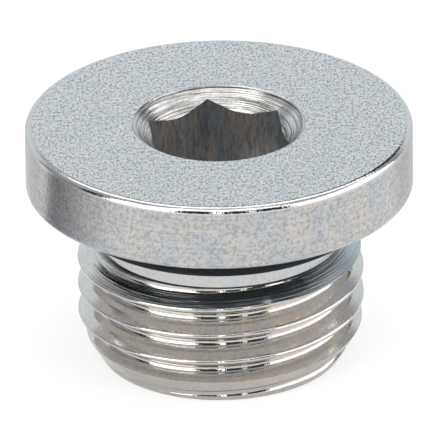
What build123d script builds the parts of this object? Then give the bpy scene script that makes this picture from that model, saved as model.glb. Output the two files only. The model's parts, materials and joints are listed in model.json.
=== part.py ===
from build123d import *
import math
import os

# Hexagon socket plug with collar and O-ring, G 1/4 parallel pipe thread. Millimetres.
# The plug stands on its thread end: z = 0 is the end face and the Z axis is the axis of turning.

# Head
head_diameter = 17.8
head_thickness = 3.1
head_top_chamfer = 0.28
head_lower_chamfer = 0.24

# Shank: end face to the underside of the head
shank_length = 8.3
neck_length = 2.49
neck_relief = 0.145  # how far the neck's diameter is under the thread's root
lead_in_angle = 57.0  # from the axis
end_relief = 0.245  # how far the end face's diameter is under the thread's root
end_chamfer_angle = 30.0  # from the axis

# Thread G 1/4: Whitworth form, right-hand, 19 turns to the inch
thread_diameter = 13.157
thread_pitch = 1.337
thread_angle = 55.0
thread_depth = 0.856
thread_root_flat = 0.22
thread_start = -17.9  # angle round the axis at which the groove begins

# Hexagon socket
socket_across_flats = 6.0
socket_depth = 5.5
socket_turn = 38.5  # angle of one corner from +X
mouth_diameter = 7.85
mouth_angle = 51.0  # from the axis
counterbore_allowance = 0.2  # counterbore's diameter over the socket's flats
counterbore_depth = 1.05
drill_allowance = 0.1  # drill's diameter under the socket's flats
drill_reach = 0.8  # full diameter beyond the hexagon
drill_point_angle = 118.0

# O-ring, stretched over the neck and pushed up against the head
ring_section = 1.5
ring_flat = 0.03  # how far the rubber flattens against the neck and against the head

root_diameter = thread_diameter - 2 * thread_depth
neck_diameter = root_diameter - neck_relief
end_diameter = root_diameter - end_relief
total_height = shank_length + head_thickness
neck_foot = shank_length - neck_length


def rise(inner, outer, angle):
    """Height of a cone between two diameters, with its angle measured from the axis."""
    return (outer - inner) / 2 / math.tan(math.radians(angle))


def turned_blank():
    """The bar turned to its outline, before threading and broaching."""
    thread_top = neck_foot - rise(neck_diameter, thread_diameter, lead_in_angle)
    outline = [
        (0, 0),
        (end_diameter / 2, 0),
        (thread_diameter / 2, rise(end_diameter, thread_diameter, end_chamfer_angle)),
        (thread_diameter / 2, thread_top),
        (neck_diameter / 2, neck_foot),
        (neck_diameter / 2, shank_length),
        (head_diameter / 2, shank_length),
        (head_diameter / 2, total_height),
        (0, total_height),
    ]
    blank = revolve(Plane.XZ * make_face(Polyline(*outline, close=True)), Axis.Z)
    blank = chamfer(ring_edge(blank, head_diameter / 2, total_height), head_top_chamfer)
    return chamfer(ring_edge(blank, head_diameter / 2, shank_length), head_lower_chamfer)


def ring_edge(solid, radius, height):
    """The turned edge at this radius and height."""
    circles = solid.edges().filter_by(GeomType.CIRCLE)
    return [
        edge
        for edge in circles
        if abs(edge.radius - radius) < 1e-4 and abs(edge.center().Z - height) < 1e-4
    ]


def groove_section():
    """The gap between two turns: 55 degree flanks and a narrow root, cut past the crest."""
    root = root_diameter / 2
    outer = thread_diameter / 2 + 0.15
    narrow = thread_root_flat / 2
    wide = narrow + (outer - root) * math.tan(math.radians(thread_angle / 2))
    return make_face(
        Polyline((root, -narrow), (outer, -wide), (outer, wide), (root, narrow), close=True)
    )


def thread_groove():
    """The helical groove, from below the end face to clear of the lead-in cone."""
    first = -1.5 * thread_pitch
    last = neck_foot + 0.6 * thread_pitch
    path = Helix(thread_pitch, last - first, root_diameter / 2, center=(0, 0, first))
    section = Plane(origin=(0, 0, first), x_dir=(1, 0, 0), z_dir=(0, -1, 0)) * groove_section()
    return Rot(0, 0, thread_start) * sweep(section, path=path, is_frenet=True)


def socket_cut():
    """The broached hexagon with its countersunk mouth, counterbore and drill point."""
    bore = socket_across_flats - drill_allowance
    counterbore = socket_across_flats + counterbore_allowance
    floor = total_height - socket_depth
    drilled = floor - drill_reach
    point = drilled - rise(0, bore, drill_point_angle / 2)
    ledge = total_height - counterbore_depth
    mouth_foot = total_height - rise(counterbore, mouth_diameter, mouth_angle)
    drill = Polyline((0, point), (bore / 2, drilled), (bore / 2, ledge), (0, ledge), close=True)
    mouth = Polyline(
        (0, ledge),
        (counterbore / 2, ledge),
        (counterbore / 2, mouth_foot),
        (mouth_diameter / 2, total_height),
        (0, total_height),
        close=True,
    )
    turned = revolve(Plane.XZ * make_face(drill), Axis.Z) + revolve(Plane.XZ * make_face(mouth), Axis.Z)
    flats = RegularPolygon(socket_across_flats / 2, 6, major_radius=False, rotation=socket_turn)
    broached = Pos(0, 0, floor) * extrude(flats, socket_depth)
    return turned + broached


def plug_body():
    """The whole metal plug in one piece."""
    return turned_blank() - thread_groove() - socket_cut()


def o_ring():
    """The seal as it sits: a round section, flattened a little on the neck and on the head."""
    radius = ring_section / 2
    place = (neck_diameter / 2 + radius - ring_flat, shank_length - radius + ring_flat)
    ring = revolve(Plane.XZ * Pos(*place) * Circle(radius), Axis.Z)
    neck = Pos(0, 0, shank_length / 2) * Cylinder(neck_diameter / 2, shank_length * 2)
    head = Pos(0, 0, shank_length + head_thickness / 2) * Cylinder(head_diameter, head_thickness)
    return ring - neck - head


os.makedirs("parts", exist_ok=True)
export_step(plug_body(), "parts/plug_body.step")
export_step(o_ring(), "parts/o_ring.step")
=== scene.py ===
"""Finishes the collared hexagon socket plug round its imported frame.

The plug is one turned, threaded and broached piece of nickel-plated brass, with a rubber
sealing ring under its head. Pieces are worked at one unit to the millimetre and brought to
metres at the end, because that is how the frame is measured.
"""

import json
import logging
import math
from dataclasses import dataclass
from enum import Enum
from typing import Callable, Iterable, Sequence

import bpy
from mathutils import Matrix, Vector


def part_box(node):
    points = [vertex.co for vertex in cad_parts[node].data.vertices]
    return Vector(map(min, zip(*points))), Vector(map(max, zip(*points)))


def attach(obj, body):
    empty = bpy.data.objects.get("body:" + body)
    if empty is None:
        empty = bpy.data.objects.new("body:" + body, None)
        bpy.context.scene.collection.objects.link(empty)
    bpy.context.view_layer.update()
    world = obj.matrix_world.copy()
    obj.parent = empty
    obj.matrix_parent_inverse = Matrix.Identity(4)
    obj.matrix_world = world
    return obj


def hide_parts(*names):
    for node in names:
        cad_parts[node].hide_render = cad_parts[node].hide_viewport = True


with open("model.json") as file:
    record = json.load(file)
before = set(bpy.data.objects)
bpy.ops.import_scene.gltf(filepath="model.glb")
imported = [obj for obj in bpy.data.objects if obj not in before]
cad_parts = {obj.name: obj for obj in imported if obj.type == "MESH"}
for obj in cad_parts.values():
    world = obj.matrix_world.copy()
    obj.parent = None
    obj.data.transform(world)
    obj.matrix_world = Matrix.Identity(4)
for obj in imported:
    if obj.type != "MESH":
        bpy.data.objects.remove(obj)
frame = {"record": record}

LOG = logging.getLogger("plug")

MM = 0.001
DEGREES = 180.0 / math.pi
ORIGIN = (0.0, 0.0, 0.0)
WHITE = (1.0, 1.0, 1.0, 1.0)

WELD_GAP = 1e-4  # millimetres: vertices closer than this become one
SAW_SLACK = 1e-6  # millimetres: a vertex closer than this lies on the cut
GUARD_INSET = 0.015  # millimetres: how far guard points lie from a straight's ends
BARE_INSETS = 6  # a straight shorter than this many insets gets no guard points
HEXAGON_CORNER = math.radians(30.0)  # where a six-sided cylinder has a corner, from +X
BUMP_HEIGHT = 0.00002  # metres: how high a mark or grain of full height stands
RUN_OUT = "run_out"  # how dull the run-out is, kept at the corners of the faces

Point = tuple[float, float]
Range = tuple[float, float]
Colour = tuple[float, float, float]


class Surface(Enum):
    """The differently finished parts of the metal body, in the order of their slots."""

    RIM = 0
    TOP = 1
    MOUTH = 2
    SOCKET = 3
    THREAD = 4
    SHOULDER = 5
    LEAD_IN = 6
    END = 7
    EDGE = 8


def mount(name: str) -> dict:
    """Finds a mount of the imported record, with its place and sizes."""
    return next(entry for entry in frame["record"]["mounts"] if entry["name"] == name)


# ---------------------------------------------------------------- bench work


def drawn_round(points: Sequence[Point], radii: Sequence[float], steps: int = 8) -> list[Point]:
    """Rounds the corners of an open outline with arcs that run smoothly into its sides.

    Args:
        points: The outline's corners, as radius and height.
        radii: One radius for each corner, 0 where it stays sharp.
        steps: How many chords each arc gets.

    Returns:
        The outline's points with every rounded corner replaced by its arc.
    """
    outline: list[Point] = []
    for index, (corner, radius) in enumerate(zip(points, radii)):
        if radius == 0 or index in (0, len(points) - 1):
            outline.append(corner)
            continue
        here = Vector(corner)
        back = (Vector(points[index - 1]) - here).normalized()
        ahead = (Vector(points[index + 1]) - here).normalized()
        half = back.angle(ahead) / 2
        centre = here + (back + ahead).normalized() * radius / math.sin(half)
        start = here + back * radius / math.tan(half) - centre
        end = here + ahead * radius / math.tan(half) - centre
        sweep = math.copysign(math.pi - 2 * half, start.x * end.y - start.y * end.x)
        for step in range(steps + 1):
            turn = sweep * step / steps
            across = start.x * math.cos(turn) - start.y * math.sin(turn)
            up = start.x * math.sin(turn) + start.y * math.cos(turn)
            outline.append((centre.x + across, centre.y + up))
    return outline


def guarded(points: Sequence[Point]) -> list[Point]:
    """Adds a point just inside both ends of every long straight, so that it shades flat.

    Args:
        points: The outline's points.

    Returns:
        The outline with its guard points.
    """
    outline = [points[0]]
    for start, end in zip(points, points[1:]):
        length = math.dist(start, end)
        if length > BARE_INSETS * GUARD_INSET:
            for share in (GUARD_INSET / length, 1 - GUARD_INSET / length):
                across = start[0] + (end[0] - start[0]) * share
                up = start[1] + (end[1] - start[1]) * share
                outline.append((across, up))
        outline.append(end)
    return outline


class Bench:
    """Hand operations on meshes, worked at one unit to the millimetre."""

    @staticmethod
    def clear() -> None:
        """Leaves edit mode and deselects everything."""
        if bpy.context.object and bpy.context.object.mode != "OBJECT":
            bpy.ops.object.mode_set(mode="OBJECT")
        bpy.ops.object.select_all(action="DESELECT")

    @classmethod
    def take(cls, piece: bpy.types.Object) -> None:
        """Makes one piece the only selected and active one.

        Args:
            piece: The piece to work on next.
        """
        cls.clear()
        piece.select_set(True)
        bpy.context.view_layer.objects.active = piece

    @classmethod
    def trace(cls, name: str, points: Sequence[Point]) -> bpy.types.Object:
        """Draws an open line in the XZ plane by extruding one vertex from point to point.

        Args:
            name: The new piece's name.
            points: The line's points, as radius and height.

        Returns:
            The piece, left in edit mode.
        """
        cls.clear()
        x, z = points[0]
        bpy.ops.mesh.primitive_plane_add(size=1.0, location=ORIGIN)
        piece = bpy.context.object
        piece.name = piece.data.name = name
        bpy.ops.object.mode_set(mode="EDIT")
        bpy.ops.mesh.select_mode(type="VERT")
        bpy.ops.mesh.select_all(action="SELECT")
        bpy.ops.mesh.merge(type="CENTER")
        bpy.ops.transform.translate(value=(x, 0.0, z))
        for start, end in zip(points, points[1:]):
            step = (end[0] - start[0], 0.0, end[1] - start[1])
            bpy.ops.mesh.extrude_region_move(TRANSFORM_OT_translate={"value": step})
        return piece

    @classmethod
    def turn(cls, name: str, points: Sequence[Point], steps: int) -> bpy.types.Object:
        """Turns an outline that starts and ends on the Z axis into a closed solid.

        Args:
            name: The new piece's name.
            points: The outline, as radius and height.
            steps: How many facets go round.

        Returns:
            The turned piece, in object mode.
        """
        piece = cls.trace(name, points)
        bpy.ops.mesh.select_all(action="SELECT")
        bpy.ops.mesh.spin(steps=steps, angle=math.tau, center=ORIGIN, axis=(0.0, 0.0, 1.0))
        cls.close_up(piece)
        return piece

    @classmethod
    def close_up(cls, piece: bpy.types.Object, gap: float = WELD_GAP) -> None:
        """Merges doubled vertices and turns every face outwards.

        Args:
            piece: The piece to clean.
            gap: How far apart merged vertices may lie.
        """
        cls.take(piece)
        bpy.ops.object.mode_set(mode="EDIT")
        bpy.ops.mesh.select_all(action="SELECT")
        bpy.ops.mesh.remove_doubles(threshold=gap)
        bpy.ops.mesh.dissolve_degenerate(threshold=gap / 2)
        bpy.ops.mesh.select_all(action="SELECT")
        bpy.ops.mesh.normals_make_consistent(inside=False)
        bpy.ops.object.mode_set(mode="OBJECT")

    @staticmethod
    def saw_off(height: float, side: float) -> None:
        """Saws the piece that is being edited off level, and fills the cut.

        Args:
            height: The height of the cut.
            side: 1 to take away what lies above it, -1 for what lies below.
        """
        bpy.ops.mesh.select_all(action="SELECT")
        bpy.ops.mesh.bisect(
            plane_co=(0.0, 0.0, height), plane_no=(0.0, 0.0, side),
            use_fill=True, clear_outer=True, threshold=SAW_SLACK,
        )

    @staticmethod
    def swivel(angle: float) -> None:
        """Turns the piece that is being edited round the Z axis, against the operator's sign."""
        bpy.ops.mesh.select_all(action="SELECT")
        bpy.ops.transform.rotate(value=-angle, orient_axis="Z", center_override=ORIGIN)

    @classmethod
    def modify(cls, piece: bpy.types.Object, kind: str, **settings: object) -> None:
        """Adds a modifier, sets it and applies it.

        Args:
            piece: The piece to modify.
            kind: The modifier's type.
            **settings: The modifier's settings by name.
        """
        cls.take(piece)
        bpy.ops.object.modifier_add(type=kind)
        modifier = piece.modifiers[-1]
        for setting, value in settings.items():
            setattr(modifier, setting, value)
        bpy.ops.object.modifier_apply(modifier=modifier.name)

    @classmethod
    def cut(cls, piece: bpy.types.Object, tool: bpy.types.Object) -> None:
        """Cuts one closed piece out of another.

        Args:
            piece: The piece that stays.
            tool: The piece that is cut out of it and then deleted.
        """
        cls.modify(piece, "BOOLEAN", object=tool, operation="DIFFERENCE", solver="EXACT")
        bpy.data.objects.remove(tool)

    @classmethod
    def pick_faces(
        cls, piece: bpy.types.Object, test: Callable[[bpy.types.MeshPolygon], bool]
    ) -> int:
        """Selects the faces that pass a test, and leaves the piece in edit mode.

        Args:
            piece: The piece to select on.
            test: Says of one face whether it is wanted.

        Returns:
            How many faces were picked.
        """
        cls.take(piece)
        bpy.ops.object.mode_set(mode="EDIT")
        bpy.ops.mesh.select_mode(type="FACE")
        bpy.ops.mesh.select_all(action="DESELECT")
        bpy.ops.object.mode_set(mode="OBJECT")
        picked = [test(face) for face in piece.data.polygons]
        piece.data.polygons.foreach_set("select", picked)
        bpy.ops.object.mode_set(mode="EDIT")
        return sum(picked)

    @classmethod
    def finish(cls, piece: bpy.types.Object, sharp: float) -> None:
        """Brings a piece to metres and smooths it up to an angle.

        Args:
            piece: The finished piece.
            sharp: The angle in degrees from which an edge stays sharp.
        """
        cls.take(piece)
        bpy.ops.transform.resize(value=(MM, MM, MM), center_override=ORIGIN)
        bpy.ops.object.transform_apply(location=True, rotation=True, scale=True)
        bpy.ops.object.shade_smooth_by_angle(angle=math.radians(sharp))
        cls.modify(piece, "WEIGHTED_NORMAL", mode="FACE_AREA", weight=100, keep_sharp=True)


# ---------------------------------------------------------------- finishes


class Sheet:
    """A shader node tree that is filled in by short calls."""

    def __init__(self, tree: bpy.types.NodeTree) -> None:
        """Takes the tree to fill in."""
        self.tree = tree

    def add(self, kind: str, **settings: object) -> bpy.types.Node:
        """Adds a node.

        Args:
            kind: The node's type, without its ShaderNode prefix.
            **settings: The node's own settings by name.

        Returns:
            The new node.
        """
        node = self.tree.nodes.new("ShaderNode" + kind)
        for setting, value in settings.items():
            setattr(node, setting, value)
        return node

    def feed(self, node: bpy.types.Node, **inputs: object) -> bpy.types.Node:
        """Sets or links a node's inputs.

        Args:
            node: The node to feed.
            **inputs: For each input, by name with _ for a space or by i and its number, a
                value or the output socket that it is linked to.

        Returns:
            The same node.
        """
        for key, value in inputs.items():
            numbered = key[0] == "i" and key[1:].isdigit()
            name = int(key[1:]) if numbered else key.replace("_", " ")
            if isinstance(value, bpy.types.NodeSocket):
                self.tree.links.new(value, node.inputs[name])
            else:
                node.inputs[name].default_value = value
        return node

    def math(self, operation: str, *values: object) -> bpy.types.NodeSocket:
        """Adds a Math node.

        Args:
            operation: The operation's name.
            *values: Numbers or output sockets for its inputs.

        Returns:
            The node's output.
        """
        node = self.add("Math", operation=operation)
        self.feed(node, **{f"i{index}": value for index, value in enumerate(values)})
        return node.outputs[0]

    def times(self, first: object, second: object) -> bpy.types.NodeSocket:
        """Multiplies two numbers or outputs."""
        return self.math("MULTIPLY", first, second)

    def ramp(self, value: object, span: Range, ends: Range = (0.0, 1.0)) -> bpy.types.NodeSocket:
        """Maps a value smoothly from one range to another.

        Args:
            value: The value's output socket.
            span: Where the change starts and where it ends, as numbers or outputs.
            ends: What comes out before and after it.

        Returns:
            The mapped value's output.
        """
        node = self.add("MapRange", interpolation_type="SMOOTHSTEP")
        self.feed(
            node, Value=value, From_Min=span[0], From_Max=span[1], To_Min=ends[0], To_Max=ends[1]
        )
        return node.outputs["Result"]

    def mix(self, share: object, first: object, second: object) -> bpy.types.NodeSocket:
        """Mixes two colours.

        Args:
            share: How much of the second shows, a number or an output.
            first: A colour or an output.
            second: A colour or an output.

        Returns:
            The mixed colour's output.
        """
        node = self.add("Mix", data_type="RGBA")
        self.feed(node, i0=share, i6=first, i7=second)
        return node.outputs[2]

    def group(self, tree: bpy.types.NodeTree, **inputs: object) -> bpy.types.Node:
        """Places a node group and feeds it.

        Args:
            tree: The group.
            **inputs: Its inputs, as feed takes them.

        Returns:
            The group's node.
        """
        node = self.add("Group")
        node.node_tree = tree
        return self.feed(node, **inputs)

    def bump(self, height: object, **inputs: object) -> bpy.types.NodeSocket:
        """Adds a Bump node.

        Args:
            height: The height's output socket.
            **inputs: Its other inputs, as feed takes them.

        Returns:
            The bumped normal's output.
        """
        node = self.feed(self.add("Bump"), Height=height, Distance=BUMP_HEIGHT, **inputs)
        return node.outputs["Normal"]

    def axes(self, kind: str = "Object") -> Sequence[bpy.types.NodeSocket]:
        """Splits a kind of texture coordinate into x, y and z."""
        place = self.add("TexCoord")
        return self.feed(self.add("SeparateXYZ"), i0=place.outputs[kind]).outputs

    def distance(self, x: object, y: object) -> bpy.types.NodeSocket:
        """Measures how far a point lies from the Z axis."""
        return self.math("SQRT", self.math("ADD", self.times(x, x), self.times(y, y)))

    def azimuth(self, x: object, y: object) -> bpy.types.NodeSocket:
        """Measures a bearing in degrees, 0 to the front and growing to the right."""
        return self.times(self.math("ARCTAN2", x, self.times(y, -1.0)), DEGREES)


def effect(
    name: str, inputs: dict[str, float], outputs: Iterable[str]
) -> tuple[Sheet, bpy.types.Node, bpy.types.Node]:
    """Starts a shader node group.

    Args:
        name: The group's name.
        inputs: Its number inputs and their usual values.
        outputs: The names of its number outputs.

    Returns:
        The group's sheet, its input node and its output node.
    """
    tree = bpy.data.node_groups.new(name, "ShaderNodeTree")
    for label, value in inputs.items():
        socket = tree.interface.new_socket(label, in_out="INPUT", socket_type="NodeSocketFloat")
        socket.default_value = value
    for label in outputs:
        tree.interface.new_socket(label, in_out="OUTPUT", socket_type="NodeSocketFloat")
    return Sheet(tree), tree.nodes.new("NodeGroupInput"), tree.nodes.new("NodeGroupOutput")


def plain_material(name: str) -> tuple[bpy.types.Material, Sheet]:
    """Starts a material.

    Args:
        name: The material's name.

    Returns:
        The material and the sheet of its node tree.
    """
    material = bpy.data.materials.new(name)
    material.use_nodes = True
    return material, Sheet(material.node_tree)


@dataclass(frozen=True)
class ToolMarks:
    """Fine rings that a turning tool leaves round the axis: their height and dark lines."""

    name: str = "tool_marks"
    detail: float = 2.0
    lines: Range = (0.42, 0.66)

    def group(self) -> bpy.types.NodeTree:
        """Builds the group once, or finds it.

        Returns:
            The group.
        """
        if self.name in bpy.data.node_groups:
            return bpy.data.node_groups[self.name]
        usual = {"Across": 9000.0, "Along": 9000.0, "Round": 1.5, "Depth": 1.0}
        sheet, given, result = effect(self.name, usual, ["Height", "Lines"])
        x, y, z = sheet.axes()
        rolled = sheet.feed(
            sheet.add("CombineXYZ"),
            X=sheet.times(sheet.distance(x, y), given.outputs["Across"]),
            Y=sheet.times(z, given.outputs["Along"]),
            Z=sheet.times(sheet.math("ARCTAN2", y, x), given.outputs["Round"]),
        ).outputs[0]
        noise = sheet.feed(sheet.add("TexNoise"), Vector=rolled, Scale=1.0, Detail=self.detail)
        sheet.feed(
            result,
            Height=sheet.times(noise.outputs["Fac"], given.outputs["Depth"]),
            Lines=sheet.ramp(noise.outputs["Fac"], self.lines),
        )
        return sheet.tree


@dataclass(frozen=True)
class PlatingGrain:
    """The fine mottle of a plated surface: its height, dark specks and broad blotches."""

    name: str = "plating_grain"
    detail: float = 2.0
    roughness: float = 0.6
    broadness: float = 0.16
    specks: Range = (0.42, 0.68)
    blotches: Range = (0.38, 0.62)

    def group(self) -> bpy.types.NodeTree:
        """Builds the group once, or finds it.

        Returns:
            The group.
        """
        if self.name in bpy.data.node_groups:
            return bpy.data.node_groups[self.name]
        usual = {"Scale": 6500.0, "Laid": 1.0, "Drawn": 1.0, "Depth": 1.0}
        sheet, given, result = effect(self.name, usual, ["Height", "Specks", "Blotches"])
        x, y, z = sheet.axes()
        drawn = sheet.feed(
            sheet.add("CombineXYZ"),
            X=x,
            Y=sheet.times(y, given.outputs["Laid"]),
            Z=sheet.times(z, given.outputs["Drawn"]),
        ).outputs[0]
        scale = given.outputs["Scale"]
        fine = sheet.feed(
            sheet.add("TexNoise"),
            Vector=drawn, Scale=scale, Detail=self.detail, Roughness=self.roughness,
        )
        broad = sheet.feed(
            sheet.add("TexNoise"),
            Vector=drawn, Scale=sheet.times(scale, self.broadness), Detail=self.detail,
        )
        sheet.feed(
            result,
            Height=sheet.times(fine.outputs["Fac"], given.outputs["Depth"]),
            Specks=sheet.ramp(fine.outputs["Fac"], self.specks),
            Blotches=sheet.ramp(broad.outputs["Fac"], self.blotches),
        )
        return sheet.tree


@dataclass(frozen=True)
class NickelPlate:
    """Nickel-plated brass as one cut or another leaves it.

    The plate goes from colour to cool in blotches, and to shade in specks and tool lines.
    Across, along and rounding say how close the turning rings lie and how far they run round.
    Laid and drawn stretch the grain front to back and along the axis where they are under 1.
    A plate that fades to another colour does so where the run-out's dullness falls to 0.
    """

    name: str
    colour: Colour = (0.52, 0.51, 0.50)
    shade: Colour = (0.34, 0.34, 0.34)
    cool: Colour = (0.46, 0.49, 0.52)
    roughness: float = 0.16
    across: float = 9000.0
    along: float = 9000.0
    rounding: float = 1.5
    marks: float = 0.1
    lines: float = 0.0
    grain: float = 0.1
    grain_scale: float = 6500.0
    laid: float = 1.0
    drawn: float = 1.0
    speckle: float = 0.3
    blotch: float = 0.3
    fades_to: Colour | None = None
    faded_roughness: float = 0.08

    def material(self) -> bpy.types.Material:
        """Builds the finish's material.

        Returns:
            The material.
        """
        material, sheet = plain_material(self.name)
        rings = sheet.group(
            ToolMarks().group(),
            Across=self.across, Along=self.along, Round=self.rounding, Depth=self.marks,
        )
        mottle = sheet.group(
            PlatingGrain().group(),
            Scale=self.grain_scale, Laid=self.laid, Drawn=self.drawn, Depth=self.grain,
        )
        shade = (*self.shade, 1.0)
        blotches = sheet.times(mottle.outputs["Blotches"], self.blotch)
        colour = sheet.mix(blotches, (*self.colour, 1.0), (*self.cool, 1.0))
        colour = sheet.mix(sheet.times(mottle.outputs["Specks"], self.speckle), colour, shade)
        colour = sheet.mix(sheet.times(rings.outputs["Lines"], self.lines), colour, shade)
        roughness = self.roughness
        if self.fades_to:
            dull = sheet.add("Attribute", attribute_name=RUN_OUT).outputs["Fac"]
            colour = sheet.mix(dull, (*self.fades_to, 1.0), colour)
            rise = sheet.times(dull, self.roughness - self.faded_roughness)
            roughness = sheet.math("ADD", rise, self.faded_roughness)
        ringed = sheet.bump(rings.outputs["Height"], Strength=1.0)
        sheet.feed(
            sheet.tree.nodes["Principled BSDF"],
            Base_Color=colour,
            Metallic=1.0,
            Roughness=roughness,
            Normal=sheet.bump(mottle.outputs["Height"], Strength=1.0, Normal=ringed),
        )
        return material


@dataclass(frozen=True)
class Rubber:
    """Black moulded sealing rubber, with a faint grey bloom."""

    name: str = "sealing_rubber"
    colour: Colour = (0.010, 0.014, 0.017)
    bloom: Colour = (0.018, 0.024, 0.028)
    roughness: float = 0.55
    gloss: float = 0.08
    grain: float = 0.3
    grain_scale: float = 5000.0
    relief: float = 0.5

    def material(self) -> bpy.types.Material:
        """Builds the finish's material.

        Returns:
            The material.
        """
        material, sheet = plain_material(self.name)
        mottle = sheet.group(PlatingGrain().group(), Scale=self.grain_scale, Depth=self.grain)
        specks = mottle.outputs["Specks"]
        sheet.feed(
            sheet.tree.nodes["Principled BSDF"],
            Base_Color=sheet.mix(specks, (*self.colour, 1.0), (*self.bloom, 1.0)),
            Roughness=self.roughness,
            Specular_IOR_Level=self.gloss,
            Normal=sheet.bump(mottle.outputs["Height"], Strength=self.relief),
        )
        return material


# ---------------------------------------------------------------- the plug


@dataclass(frozen=True)
class Sorting:
    """The limits by which the body's faces are told apart, in millimetres where not slopes."""

    slack: float = 1e-3
    mouth_margin: float = 0.05
    drill_room: float = 3.0
    ledge_margin: float = 0.01
    ledge_slope: float = 0.4
    inward: float = -0.995
    facet_area: float = 1.0
    flank_slope: float = 0.8
    crest_margin: float = 0.05
    cone_match: float = 0.01
    cone_length: float = 0.6
    fade_reach: float = 0.33
    fade_length: float = 0.2


@dataclass
class PlugBody:
    """The metal plug: head, neck, pipe thread and broached socket, all one piece.

    Lengths are in millimetres and angles in degrees. What the frame carries is read from it.
    """

    head_radius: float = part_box("plug_body")[1][0] / MM
    height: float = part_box("plug_body")[1][2] / MM
    underside: float = mount("seat_face")["pos_m"][2] / MM
    crest_radius: float = mount("pipe_thread")["dims"]["r_mm"]
    flat_radius: float = mount("hex_socket")["dims"]["r_mm"]
    socket_depth: float = mount("hex_socket")["dims"]["length_mm"]
    top_edge: float = 0.3
    lower_edge: float = 0.26

    neck_radius: float = 5.65
    neck_length: float = 2.49
    neck_corner: float = 0.1
    lead_in: float = 57.0

    # The blank stands this far over the crests, so that the threading tool cuts them too.
    blank_stock: float = 0.25
    pitch: float = 1.337
    thread_angle: float = 55.0
    root_radius: float = 5.7225
    crest_flat: float = 0.15
    crest_edge: float = 0.11
    root_hollow: float = 0.24
    form_trim: float = 0.01
    start_angle: float = -17.9
    # The threading tool is a tube round a threaded rod, which is made longer and sawn off.
    turns_below: float = 2.5
    turns: int = 9
    rod_ends: Range = (-1.0, 7.0)
    tube_radius: float = 9.0
    tube_facets: int = 64
    tube_above: float = 0.24
    tube_below: float = 0.6

    end_radius: float = 5.6
    end_chamfer: float = 30.0
    end_corner: float = 0.02

    mouth_radius: float = 3.925
    mouth_angle: float = 51.0
    mouth_edge: float = 0.03
    mouth_corner: float = 0.02
    mouth_lip: float = 0.05
    lip_wall: float = 0.06
    counterbore_radius: float = 3.1
    counterbore_depth: float = 0.93
    ledge_rise: float = 0.17
    drill_radius: float = 2.95
    drill_reach: float = 0.8
    drill_point: float = 118.0
    socket_turn: float = 38.5
    punch_over: float = 1.0

    round_steps: int = 288
    turn_steps: int = 240
    form_steps: int = 7
    sharp: float = 32.0
    weld: float = 2e-4
    sorting: Sorting = Sorting()

    def outline(self) -> list[Point]:
        """Draws the turned blank from the drill point over the head to the end face.

        Returns:
            The outline, as radius and height.
        """
        reach = self.crest_radius + self.blank_stock
        bore_end = self.height - self.socket_depth - self.drill_reach
        point = bore_end - self.drill_radius / math.tan(math.radians(self.drill_point / 2))
        ledge = self.height - self.counterbore_depth
        slope = math.tan(math.radians(self.mouth_angle))
        mouth_rise = (self.mouth_radius - self.counterbore_radius) / slope
        mouth_foot = self.height - self.lip_wall - mouth_rise
        lip = self.mouth_radius - self.mouth_lip
        lip_foot = self.height - self.mouth_lip / slope - self.lip_wall
        neck_foot = self.underside - self.neck_length
        cone_foot = neck_foot - (reach - self.neck_radius) / math.tan(math.radians(self.lead_in))
        chamfer_top = (reach - self.end_radius) / math.tan(math.radians(self.end_chamfer))
        corners = [
            (0.0, point, 0.0),
            (self.drill_radius, bore_end, 0.0),
            (self.drill_radius, ledge, 0.0),
            (self.counterbore_radius, ledge + self.ledge_rise, 0.0),
            (self.counterbore_radius, mouth_foot, self.mouth_corner),
            (lip, lip_foot, 0.0),
            (lip, self.height - self.lip_wall / 2, 0.0),
            (self.mouth_radius + self.mouth_edge, self.height, self.mouth_edge),
            (self.head_radius, self.height, self.top_edge),
            (self.head_radius, self.underside, self.lower_edge),
            (self.neck_radius, self.underside, self.neck_corner),
            (self.neck_radius, neck_foot, 0.0),
            (reach, cone_foot, 0.0),
            (reach, chamfer_top, 0.0),
            (self.end_radius, 0.0, self.end_corner),
            (0.0, 0.0, 0.0),
        ]
        return guarded(drawn_round([c[:2] for c in corners], [c[2] for c in corners]))

    def thread_form(self) -> list[Point]:
        """Draws one pitch of the thread, from the middle of a flank to the next one like it.

        Returns:
            The form, as radius and height.

        Raises:
            ValueError: If the rounded corners don't fit between the flanks.
        """
        slope = math.tan(math.radians(self.thread_angle / 2))
        crest = self.crest_radius
        root = self.root_radius
        flank = (crest - root) * slope
        narrow = (self.pitch - self.crest_flat) / 2 - flank
        used = math.tan((math.pi / 2 - math.atan(slope)) / 2)
        if self.root_hollow * used > narrow or self.crest_edge * used > self.crest_flat / 2:
            raise ValueError("the thread's rounded corners don't fit between its flanks")
        corners = [
            (root, narrow - self.pitch, 0.0),
            (crest, narrow + flank - self.pitch, self.crest_edge),
            (crest, -narrow - flank, self.crest_edge),
            (root, -narrow, self.root_hollow),
            (root, narrow, self.root_hollow),
            (crest, narrow + flank, self.crest_edge),
            (crest, self.pitch - narrow - flank, self.crest_edge),
            (root, self.pitch - narrow, 0.0),
        ]
        form = drawn_round([c[:2] for c in corners], [c[2] for c in corners], self.form_steps)
        half = self.pitch / 2 - self.form_trim
        form = [point for point in form if abs(point[1] - self.pitch / 4) < half]
        middle = (crest + root) / 2
        return guarded([(middle, -self.pitch / 4), *form, (middle, self.pitch * 0.75)])

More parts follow.
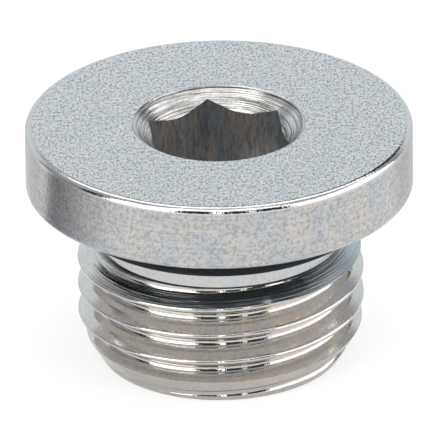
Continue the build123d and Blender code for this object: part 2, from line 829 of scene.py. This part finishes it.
    def thread_waste(self) -> bpy.types.Object:
        """Models what the threading tool takes away: a thick tube round a threaded rod.

        Returns:
            The tube.
        """
        first = -self.turns_below * self.pitch
        rod = Bench.trace("thread_form", [(r, z + first) for r, z in self.thread_form()])
        Bench.swivel(math.radians(self.start_angle))
        Bench.modify(
            rod, "SCREW",
            axis="Z", angle=math.tau, screw_offset=self.pitch, iterations=self.turns,
            steps=self.turn_steps, render_steps=self.turn_steps,
            use_merge_vertices=True, merge_threshold=WELD_GAP,
        )
        Bench.close_up(rod)
        bpy.ops.object.mode_set(mode="EDIT")
        for height, side in zip(self.rod_ends, (-1.0, 1.0)):
            Bench.saw_off(height, side)
        bpy.ops.mesh.select_all(action="SELECT")
        bpy.ops.mesh.normals_make_consistent(inside=False)
        Bench.clear()
        top = self.underside - self.neck_length + self.tube_above
        bpy.ops.mesh.primitive_cylinder_add(
            vertices=self.tube_facets, radius=self.tube_radius, depth=top + self.tube_below,
            location=(0.0, 0.0, top / 2 - self.tube_below / 2),
        )
        waste = bpy.context.object
        Bench.cut(waste, rod)
        return waste

    def broach(self) -> bpy.types.Object:
        """Models the hexagonal punch that cuts the socket.

        Returns:
            The punch.
        """
        floor = self.height - self.socket_depth
        depth = self.socket_depth + self.punch_over
        Bench.clear()
        bpy.ops.mesh.primitive_cylinder_add(
            vertices=6, radius=self.flat_radius / math.cos(math.pi / 6), depth=depth,
            location=(0.0, 0.0, floor + depth / 2),
        )
        punch = bpy.context.object
        bpy.ops.object.mode_set(mode="EDIT")
        Bench.swivel(math.radians(self.socket_turn) - HEXAGON_CORNER)
        bpy.ops.object.mode_set(mode="OBJECT")
        return punch

    def build(self) -> bpy.types.Object:
        """Turns, threads and broaches the body.

        Returns:
            The finished body in metres, with one material slot for each Surface.
        """
        body = Bench.turn("socket_plug", self.outline(), self.round_steps)
        Bench.cut(body, self.thread_waste())
        Bench.cut(body, self.broach())
        Bench.close_up(body, gap=self.weld)
        self.sort_surfaces(body)
        self.fade_run_out(body)
        Bench.finish(body, self.sharp)
        return body

    def surface_of(self, face: bpy.types.MeshPolygon) -> Surface:
        """Says which finish a face has, from where it lies and which way it looks.

        Args:
            face: A face of the body, in millimetres.

        Returns:
            The face's surface.
        """
        rule = self.sorting
        x, y, z = face.center
        radius = math.hypot(x, y)
        socket_end = self.height - self.socket_depth - rule.drill_room
        if radius < self.mouth_radius + rule.mouth_margin and z > socket_end:
            return Surface.MOUTH if self.in_mouth(face) else Surface.SOCKET
        if z > self.height - rule.slack:
            return Surface.TOP
        edge_foot = self.height - self.top_edge + rule.slack
        if z > edge_foot and radius > self.head_radius - self.top_edge:
            return Surface.EDGE
        if z > self.underside + rule.slack:
            return Surface.RIM
        if z > self.underside - self.neck_length - rule.slack:
            return Surface.SHOULDER
        if z < rule.slack:
            return Surface.END
        if self.on_cone(face) or self.in_run_out(face):
            return Surface.LEAD_IN
        return Surface.THREAD

    def in_mouth(self, face: bpy.types.MeshPolygon) -> bool:
        """Says whether a face of the socket belongs to its turned mouth.

        Args:
            face: A face of the socket, in millimetres.

        Returns:
            True on the ledge, the countersink and the counterbore's wall.
        """
        rule = self.sorting
        x, y, z = face.center
        ledge = self.height - self.counterbore_depth
        outward = (face.normal.x * x + face.normal.y * y) / max(math.hypot(x, y), 1e-9)
        sloping = z > ledge - rule.ledge_margin and abs(face.normal.z) > rule.ledge_slope
        # The hexagon's walls are large faces, and the turned wall has only narrow ones.
        upright = z > ledge and outward < rule.inward and face.area < rule.facet_area
        return sloping or upright

    def in_run_out(self, face: bpy.types.MeshPolygon) -> bool:
        """Says whether a face is on the last groove's lower flank, where the groove ends.

        Args:
            face: A face of the shank, in millimetres.

        Returns:
            True where it is dulled.
        """
        x, y, z = face.center
        crest = self.last_crest(x, y) + self.sorting.crest_margin
        return face.normal.z > self.sorting.flank_slope and z > crest and self.dullness(x, y) > 0

    def on_cone(self, face: bpy.types.MeshPolygon) -> bool:
        """Says whether a face slopes as the lead-in cone does."""
        slope = math.sin(math.radians(self.lead_in))
        return abs(face.normal.z - slope) < self.sorting.cone_match

    def last_crest(self, x: float, y: float) -> float:
        """Finds the top of the last crest, above which the groove runs out into the cone.

        Args:
            x: The point's place across.
            y: The point's place in depth.

        Returns:
            The crest's height at that angle round the axis.
        """
        turned = (math.degrees(math.atan2(y, x)) - self.start_angle) % 360.0 / 360.0
        whole = math.floor((self.underside - self.neck_length) / self.pitch - turned)
        return (whole + 0.5 + turned) * self.pitch - (self.pitch - self.crest_flat) / 2

    def dullness(self, x: float, y: float) -> float:
        """Says how dull the run-out is at an angle round the axis.

        Args:
            x: The point's place across.
            y: The point's place in depth.

        Returns:
            1 where the groove nears its end, down to 0 where it is as bright as the thread.
        """
        rule = self.sorting
        cone_foot = self.underside - self.neck_length - rule.cone_length
        dull = (self.last_crest(x, y) - cone_foot + rule.fade_reach) / rule.fade_length
        return min(max(dull, 0.0), 1.0)

    def fade_run_out(self, body: bpy.types.Object) -> None:
        """Writes the run-out's dullness at each corner of each face, for the lead-in's finish.

        Args:
            body: The body, in millimetres.
        """
        mesh = body.data
        fade = mesh.attributes.new(RUN_OUT, "FLOAT", "CORNER")
        for face in mesh.polygons:
            for corner in face.loop_indices:
                x, y, _ = mesh.vertices[mesh.loops[corner].vertex_index].co
                fade.data[corner].value = 1.0 if self.on_cone(face) else self.dullness(x, y)

    def sort_surfaces(self, body: bpy.types.Object) -> None:
        """Gives the body a slot for each surface and puts its faces into them.

        Args:
            body: The body, in millimetres.
        """
        for surface in Surface:
            count = Bench.pick_faces(body, lambda face: self.surface_of(face) is surface)
            bpy.ops.object.material_slot_add()
            body.active_material_index = surface.value
            if count:
                bpy.ops.object.material_slot_assign()
            LOG.info("%s: %d faces", surface.name.lower(), count)
        Bench.clear()

    def dress(self, body: bpy.types.Object) -> None:
        """Gives each surface its finish.

        Args:
            body: The finished body.
        """
        finishes = {
            Surface.RIM: NickelPlate(
                "turned_rim", colour=(0.53, 0.51, 0.485), shade=(0.27, 0.27, 0.275),
                cool=(0.43, 0.465, 0.50), roughness=0.14, rounding=3.0, marks=1.0, lines=0.28,
                grain=0.5, grain_scale=6600.0, drawn=0.9, speckle=0.7, blotch=0.75,
            ),
            Surface.TOP: NickelPlate(
                "grained_top", colour=(0.82, 0.81, 0.795), shade=(0.08, 0.09, 0.11),
                cool=(0.76, 0.775, 0.80), roughness=0.25, marks=0.0,
                grain=0.6, grain_scale=9200.0, laid=0.62, speckle=0.6, blotch=0.5,
            ),
            Surface.MOUTH: NickelPlate(
                "turned_mouth", colour=(0.63, 0.62, 0.60), shade=(0.10, 0.08, 0.07),
                roughness=0.07, across=19000.0, along=19000.0, rounding=1.0, marks=1.6,
                lines=0.75, grain=0.3, speckle=0.2,
            ),
            Surface.SOCKET: NickelPlate(
                "broached_socket", colour=(0.74, 0.69, 0.64), shade=(0.26, 0.245, 0.23),
                cool=(0.50, 0.55, 0.60), roughness=0.33, marks=0.0,
                grain=0.5, grain_scale=8000.0, drawn=0.22, speckle=0.7, blotch=1.0,
            ),
            Surface.THREAD: NickelPlate(
                "cut_thread", colour=(0.59, 0.55, 0.505), cool=(0.53, 0.52, 0.51),
                roughness=0.08, marks=0.25, grain=0.3, blotch=0.8,
            ),
            Surface.SHOULDER: NickelPlate(
                "turned_neck", roughness=0.12, marks=0.4, grain=0.2, speckle=0.35, blotch=0.5,
            ),
            Surface.LEAD_IN: NickelPlate(
                "turned_lead_in", colour=(0.44, 0.50, 0.54), roughness=0.3,
                across=13000.0, along=13000.0, marks=1.2, lines=0.45, grain=0.3, speckle=0.4,
                fades_to=(0.59, 0.55, 0.505),
            ),
            Surface.END: NickelPlate(
                "end_face", roughness=0.3, across=12000.0, marks=0.8, lines=0.3, speckle=0.5,
            ),
            Surface.EDGE: NickelPlate(
                "polished_edge", colour=(0.56, 0.55, 0.54), roughness=0.05, rounding=60.0,
                marks=0.25, grain=0.35, speckle=0.15, blotch=0.2,
            ),
        }
        for surface, finish in finishes.items():
            body.material_slots[surface.value].material = finish.material()


@dataclass
class SealingRing:
    """The round-section rubber ring, stretched over the neck and pushed up to the head."""

    section: float = 1.5
    squeeze: float = 0.03
    neck_radius: float = 5.65
    underside: float = mount("seat_face")["pos_m"][2] / MM
    round_steps: int = 224
    section_steps: int = 40
    sharp: float = 40.0

    def build(self) -> bpy.types.Object:
        """Models the ring and flattens it against the neck and the head.

        Returns:
            The ring in metres.
        """
        radius = self.section / 2
        Bench.clear()
        bpy.ops.mesh.primitive_torus_add(
            major_segments=self.round_steps, minor_segments=self.section_steps,
            major_radius=self.neck_radius + radius - self.squeeze, minor_radius=radius,
            location=(0.0, 0.0, self.underside - radius + self.squeeze),
        )
        ring = bpy.context.object
        ring.name = ring.data.name = "sealing_ring"
        bpy.ops.object.transform_apply(location=True)
        bpy.ops.object.mode_set(mode="EDIT")
        Bench.saw_off(self.underside, 1.0)
        Bench.finish(ring, self.sharp)
        return ring

    def dress(self, ring: bpy.types.Object) -> None:
        """Gives the ring its rubber."""
        ring.data.materials.append(Rubber().material())


# ---------------------------------------------------------------- the studio


@dataclass(frozen=True)
class Card:
    """One light or dark panel of the studio, as seen from the plug.

    Angles are in degrees. Azimuth 0 is towards the front and grows to the right.
    """

    azimuth: float
    half_width: float
    low: float
    high: float
    colour: Colour
    edge: float


@dataclass
class Studio:
    """Floor, surrounding light and camera.

    The floor is white to the camera. Metal mirrors its glow dimmer close under the plug and
    behind it, which is painted shade, and also mirrors a painted shadow on its left, which the
    camera doesn't see. Lengths are in metres and angles in degrees.
    """

    floor_size: float = 6.0
    floor_colour: float = 0.475
    floor_lift: float = 0.05
    # Painted shade: at these bearings behind the plug, mirrors see the floor's glow drop to this
    # share.
    back_shade_level: float = 0.35
    back_shade_bearing: Range = (95.0, 130.0)
    # Painted shadow: close under the plug, mirrors see the floor's glow drop to this share.
    under_shadow_level: float = 0.62
    under_shadow_reach: Range = (6.0 * MM, 12.0 * MM)
    open_reach: Range = (17.0 * MM, 21.0 * MM)
    # Painted shadow on the floor's left, seen only by mirrors: the bearings where it begins, is
    # full and ends, and its share of the floor's colour.
    left_shadow_bearing: tuple[float, float, float] = (-113.0, -101.0, -48.0)
    left_shadow_colour: Colour = (0.56, 0.56, 0.57)

    room: Colour = (0.6, 0.62, 0.64)
    cards: tuple[Card, ...] = (
        # The back wall, then the softbox overhead, in front and behind.
        Card(180.0, 88.0, -8.0, 30.0, (0.95, 1.03, 1.08), 2.0),
        Card(0.0, 52.0, 44.0, 77.0, (2.1, 2.1, 2.1), 2.0),
        Card(180.0, 52.0, 44.0, 77.0, (2.1, 2.1, 2.1), 2.0),
        # The dark gaps behind on the right, between the wall and the softbox.
        Card(138.0, 14.0, 27.0, 41.0, (0.5, 0.52, 0.55), 5.0),
        Card(166.0, 20.0, 30.0, 44.0, (0.03, 0.028, 0.026), 1.2),
        Card(126.0, 8.0, 6.0, 32.0, (0.35, 0.36, 0.38), 3.0),
        # The dark front, where the camera stands.
        Card(6.5, 32.5, 1.0, 43.0, (0.04, 0.052, 0.062), 1.2),
        # The white panels on the left and the right, and the dark strips behind the left one.
        Card(-47.0, 21.0, -8.0, 50.0, (3.4, 3.4, 3.4), 1.5),
        Card(-104.0, 21.0, -8.0, 30.0, (0.4, 0.42, 0.44), 4.0),
        Card(-80.0, 7.0, 4.0, 38.0, (0.03, 0.03, 0.03), 2.0),
        Card(80.0, 38.0, -8.0, 46.0, (2.3, 2.3, 2.3), 1.5),
        # Two narrow lights in the dark front.
        Card(-1.5, 1.3, 2.0, 42.0, (5.0, 5.0, 5.0), 0.6),
        Card(19.0, 1.0, 2.0, 42.0, (3.0, 3.0, 3.0), 0.6),
    )

    distance: float = 0.7466
    elevation: float = 26.22
    roll: float = 0.75
    aim_drop: float = 4.97 * MM
    focal_pixels: float = 16298.0
    picture_pixels: float = 440.0
    sensor_mm: float = 36.0
    clip: Range = (0.05, 20.0)

    def floor(self) -> None:
        """Lays the floor as a stage piece, with the object's shadow on it."""
        Bench.clear()
        bpy.ops.mesh.primitive_plane_add(size=self.floor_size)
        floor = bpy.context.object
        floor.name = "floor"
        material, sheet = plain_material("pale_floor")
        sheet.tree.nodes.remove(sheet.tree.nodes["Principled BSDF"])
        path = sheet.add("LightPath").outputs
        x, y, _ = sheet.axes()
        azimuth = sheet.azimuth(x, y)
        radius = sheet.distance(x, y)
        out_in_open = sheet.ramp(radius, self.open_reach)
        # Painted shadow: the floor's glow, as mirrors see it, is dimmer close under the plug.
        shadow_under_plug = sheet.ramp(radius, self.under_shadow_reach, (self.under_shadow_level, 1.0))

        # Painted shadow: on the left, mirrors see the floor darker and without its glow, while
        # the camera sees it white.
        begin, full, end = self.left_shadow_bearing
        rising = sheet.ramp(azimuth, (begin, full))
        falling = sheet.ramp(azimuth, (full, end), (1.0, 0.0))
        painted_left_shadow = sheet.times(sheet.times(rising, falling), out_in_open)
        shadow_in_mirror = sheet.times(path["Is Glossy Ray"], painted_left_shadow)
        level = self.floor_colour
        bare = (level, level, level, 1.0)
        shadowed_floor_tone = (*(share * level for share in self.left_shadow_colour), 1.0)
        matt = sheet.feed(sheet.add("BsdfDiffuse"), Color=sheet.mix(shadow_in_mirror, bare, shadowed_floor_tone))

        # Painted shade: mirrors see the floor's glow dimmer behind the plug, on both sides.
        bearing = sheet.math("ABSOLUTE", azimuth)
        back = sheet.times(out_in_open, sheet.ramp(bearing, self.back_shade_bearing))
        share = sheet.math("SUBTRACT", shadow_under_plug, sheet.times(back, 1.0 - self.back_shade_level))
        mirrored = sheet.times(sheet.math("SUBTRACT", path["Is Glossy Ray"], shadow_in_mirror), share)
        seen = sheet.math("ADD", path["Is Camera Ray"], mirrored)
        strength = sheet.times(seen, 1.0 - level + self.floor_lift)
        glow = sheet.feed(sheet.add("Emission"), Color=WHITE, Strength=strength)

        both = sheet.feed(sheet.add("AddShader"), i0=matt.outputs[0], i1=glow.outputs[0])
        sheet.feed(sheet.tree.nodes["Material Output"], Surface=both.outputs[0])
        floor.data.materials.append(material)

    @staticmethod
    def card_mask() -> bpy.types.NodeTree:
        """Builds the group that says how far a direction lies on a card.

        Returns:
            The group.
        """
        usual = {
            "Azimuth": 0, "Elevation": 0, "Centre": 0, "Half width": 10, "Low": 0, "High": 10,
            "Edge": 1,
        }
        sheet, given, result = effect("card_mask", usual, ["Mask"])
        value = given.outputs
        edge = value["Edge"]

        def blurred(limit: object) -> tuple[bpy.types.NodeSocket, bpy.types.NodeSocket]:
            """Spreads a limit by the card's soft edge."""
            return sheet.math("SUBTRACT", limit, edge), sheet.math("ADD", limit, edge)

        turn = sheet.math("SUBTRACT", value["Azimuth"], value["Centre"])
        off = sheet.math("ABSOLUTE", sheet.math("WRAP", turn, 180.0, -180.0))
        wide = sheet.ramp(off, blurred(value["Half width"]), (1.0, 0.0))
        lift = sheet.ramp(value["Elevation"], blurred(value["Low"]))
        drop = sheet.ramp(value["Elevation"], blurred(value["High"]), (1.0, 0.0))
        sheet.feed(result, Mask=sheet.times(wide, sheet.times(lift, drop)))
        return sheet.tree

    def surround(self) -> None:
        """Lights the room by direction: soft walls, with the cards laid over them."""
        world = bpy.data.worlds.new("studio")
        bpy.context.scene.world = world
        world.use_nodes = True
        sheet = Sheet(world.node_tree)
        x, y, z = sheet.axes("Generated")
        azimuth = sheet.azimuth(x, y)
        elevation = sheet.times(sheet.math("ARCSINE", z), DEGREES)
        light = (*self.room, 1.0)
        mask_tree = self.card_mask()
        for card in self.cards:
            mask = sheet.group(
                mask_tree,
                Azimuth=azimuth, Elevation=elevation, Centre=card.azimuth,
                Half_width=card.half_width, Low=card.low, High=card.high, Edge=card.edge,
            )
            light = sheet.mix(mask.outputs["Mask"], light, (*card.colour, 1.0))
        path = sheet.add("LightPath")
        shown = sheet.mix(path.outputs["Is Camera Ray"], light, WHITE)
        sheet.feed(sheet.tree.nodes["Background"], Color=shown, Strength=1.0)

    def camera(self) -> None:
        """Sets up the long camera that looks down on the head."""
        top = Vector((0.0, 0.0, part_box("plug_body")[1][2]))
        slope = math.radians(self.elevation)
        place = top + self.distance * Vector((0.0, -math.cos(slope), math.sin(slope)))
        aim = top - Vector((0.0, 0.0, self.aim_drop))
        data = bpy.data.cameras.new("camera")
        data.sensor_width = self.sensor_mm
        data.lens = self.sensor_mm * self.focal_pixels / self.picture_pixels
        data.clip_start, data.clip_end = self.clip
        camera = bpy.data.objects.new("camera", data)
        bpy.context.collection.objects.link(camera)
        facing = (aim - place).to_track_quat("-Z", "Y").to_matrix().to_4x4()
        leaned = facing @ Matrix.Rotation(-math.radians(self.roll), 4, "Z")
        camera.matrix_world = Matrix.Translation(place) @ leaned
        bpy.context.scene.camera = camera

    def build(self) -> None:
        """Sets up the whole studio."""
        self.floor()
        self.surround()
        self.camera()
        bpy.context.scene.view_settings.view_transform = "Standard"


def main() -> None:
    """Builds the plug and the studio round the frame."""
    logging.basicConfig(level=logging.INFO, format="%(name)s: %(message)s")
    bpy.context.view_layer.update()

    plug = PlugBody()
    body = plug.build()
    plug.dress(body)
    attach(body, "root")
    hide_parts("plug_body")
    LOG.info("%s: %d faces", body.name, len(body.data.polygons))

    seal = SealingRing()
    ring = seal.build()
    seal.dress(ring)
    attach(ring, "root")
    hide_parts("o_ring")
    LOG.info("%s: %d faces", ring.name, len(ring.data.polygons))

    Studio().build()


if __name__ == "__main__":
    main()
